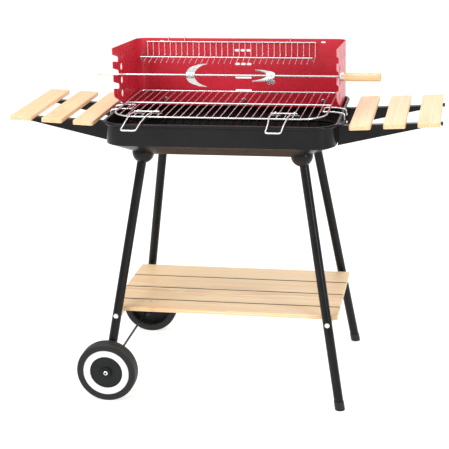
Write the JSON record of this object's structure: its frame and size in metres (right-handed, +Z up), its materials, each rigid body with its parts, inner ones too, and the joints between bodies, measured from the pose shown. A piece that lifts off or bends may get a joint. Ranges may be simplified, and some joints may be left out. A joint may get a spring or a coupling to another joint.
{
  "type": "charcoal barbecue trolley",
  "caption": "Rectangular charcoal barbecue on a wheeled trolley, with a bent windshield, turning spit and forks, cooking grid, warming rack and slatted wooden shelves.",
  "frame": {"origin": "on the ground, under the middle of the fire bowl", "axes": "+X along the bowl towards the spit's handle, +Y towards the windshield's back, +Z up; the wheels are on the -X legs"},
  "size_m": [1.0328, 0.5028, 0.842],
  "materials": {
    "black_enamel": "glossy black enamel on pressed steel",
    "black_paint": "semi-gloss black powder coat",
    "black_wire": "matt black heat-proof paint on wire",
    "red_enamel": "glossy red enamel on sheet steel",
    "pine": "pale pine with a clear satin varnish",
    "chrome": "bright chrome plate on steel wire and rod",
    "zinc_steel": "bright zinc plate",
    "wheel_plastic": "satin black moulded plastic",
    "white_plastic": "glossy white moulded plastic",
    "black_plastic": "matt black moulded plastic"
  },
  "bodies": {
    "trolley": {"firebowl": "black_enamel", "leg_sockets": "black_enamel", "leg_front_left": "black_paint", "leg_front_right": "black_paint", "leg_rear_left": "black_paint", "leg_rear_right": "black_paint", "shelf_bracket_front_left": "black_paint", "shelf_bracket_front_right": "black_paint", "shelf_bracket_rear_left": "black_paint", "shelf_bracket_rear_right": "black_paint", "axle": "black_paint", "charcoal_grate": "black_wire", "windshield": "red_enamel", "crossbar_left": "pine", "crossbar_right": "pine", "lower_slat_1": "pine", "lower_slat_2": "pine", "lower_slat_3": "pine", "lower_slat_4": "pine", "side_slat_left_1": "pine", "side_slat_left_2": "pine", "side_slat_left_3": "pine", "side_slat_right_1": "pine", "side_slat_right_2": "pine", "side_slat_right_3": "pine", "axle_caps": "chrome", "leg_bolts": "zinc_steel", "crossbar_bolts": "zinc_steel", "shield_bolts": "zinc_steel", "shield_spacers": "zinc_steel", "shield_nuts": "zinc_steel", "bracket_bolts": "zinc_steel", "side_slat_screws": "zinc_steel", "lower_slat_screws": "zinc_steel", "foot_cap_front": "black_plastic", "foot_cap_rear": "black_plastic", "leg_end_plugs": "black_plastic", "bracket_caps": "black_plastic"},
    "wheel_front": {"tyre_front": "wheel_plastic", "wheel_disc_front": "wheel_plastic", "wheel_ring_front": "white_plastic"},
    "wheel_rear": {"tyre_rear": "wheel_plastic", "wheel_disc_rear": "wheel_plastic", "wheel_ring_rear": "white_plastic"},
    "spit": {"spit_rod": "chrome", "spit_ferrule": "chrome", "spit_handle": "pine"},
    "fork_left": {"spit_fork_left": "chrome"},
    "fork_right": {"spit_fork_right": "chrome"},
    "screw_left": {"thumbscrew_left": "chrome"},
    "screw_right": {"thumbscrew_right": "chrome"},
    "grid": {"cooking_grid": "chrome", "handle_clips": "chrome", "grid_hook_left": "chrome", "grid_hook_right": "chrome"},
    "handle_left": {"grid_handle_left": "chrome"},
    "handle_right": {"grid_handle_right": "chrome"},
    "rack": {"warming_rack": "chrome"}
  },
  "joints": [
    {"name": "wheel_front_spin", "type": "hinge", "parent": "trolley", "child": "wheel_front", "pos_m": [-0.277, -0.2308, 0.074], "axis": [0, 1, 0], "continuous": true},
    {"name": "wheel_rear_spin", "type": "hinge", "parent": "trolley", "child": "wheel_rear", "pos_m": [-0.277, 0.2308, 0.074], "axis": [0, 1, 0], "continuous": true},
    {"name": "spit_turn", "type": "hinge", "parent": "trolley", "child": "spit", "pos_m": [0, -0.036, 0.771], "axis": [1, 0, 0], "continuous": true},
    {"name": "fork_left_slide", "type": "slide", "parent": "spit", "child": "fork_left", "axis": [1, 0, 0], "range_m": [-0.15, 0.055]},
    {"name": "fork_right_slide", "type": "slide", "parent": "spit", "child": "fork_right", "axis": [1, 0, 0], "range_m": [-0.02, 0.14]},
    {"name": "screw_left_turn", "type": "hinge", "parent": "fork_left", "child": "screw_left", "pos_m": [-0.088, -0.036, 0.771], "axis": [0, -0.9781, 0.2079], "continuous": true},
    {"name": "screw_right_turn", "type": "hinge", "parent": "fork_right", "child": "screw_right", "pos_m": [0.107, -0.036, 0.771], "axis": [0, 0.309, -0.9511], "continuous": true},
    {"name": "grid_pull", "type": "slide", "parent": "trolley", "child": "grid", "axis": [0, -1, 0], "range_m": [0, 0.07]},
    {"name": "handle_left_lift", "type": "hinge", "parent": "grid", "child": "handle_left", "pos_m": [-0.1866, -0.115, 0.6974], "axis": [-1, 0, 0], "range_deg": [0, 95]},
    {"name": "handle_right_lift", "type": "hinge", "parent": "grid", "child": "handle_right", "pos_m": [0.1433, -0.115, 0.6974], "axis": [-1, 0, 0], "range_deg": [0, 95]},
    {"name": "rack_lift", "type": "slide", "parent": "trolley", "child": "rack", "axis": [0, 0, 1], "range_m": [0, 0.06]}
  ]
}
